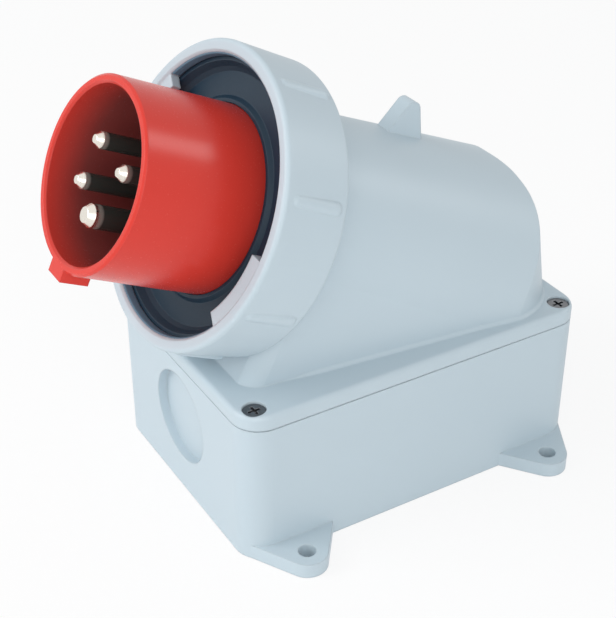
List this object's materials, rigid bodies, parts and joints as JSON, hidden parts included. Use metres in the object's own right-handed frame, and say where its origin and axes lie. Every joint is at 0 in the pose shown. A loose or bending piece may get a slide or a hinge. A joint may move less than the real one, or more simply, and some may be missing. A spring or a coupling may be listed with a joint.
{
  "type": "surface mounted plug",
  "caption": "Industrial surface mounted plug: box base with feet, tilted arched hood, red shroud with contact pins, seal and a turning bayonet ring.",
  "frame": {"origin": "middle of the four fixing holes, on the wall side of the base", "axes": "+Z points off the wall, +X is to the right for someone who looks into the plug, and the plug's mouth looks towards -Y, tilted 25.5 degrees up"},
  "size_m": [0.116, 0.1587, 0.1449],
  "materials": {
    "housing": "satin moulded",
    "signal": "satin moulded",
    "rubber": "smooth moulded",
    "contact": "nickel plated",
    "brass": "turned",
    "steel": "dark zinc",
    "carrier": "moulded"
  },
  "bodies": {
    "housing": {"base_box": "housing", "hood": "housing", "hood_gasket": "rubber", "cover_screws": "steel", "screw_washers": "rubber", "threaded_inserts": "brass", "ring_seal": "rubber", "plug_insert": "signal", "insert_gasket": "rubber", "insert_screws": "steel", "contact_plate": "carrier", "plate_screw": "steel", "pin_earth": "contact", "pin_l1": "contact", "pin_l2": "contact", "pin_l3": "contact", "terminal_screws": "steel"},
    "locking_ring": {"locking_ring": "housing"}
  },
  "joints": [
    {"name": "ring_lock", "type": "hinge", "parent": "housing", "child": "locking_ring", "pos_m": [0, -0.0545, 0.10433], "axis": [0, 0.9026, -0.4305], "range_deg": [0, 40]}
  ]
}
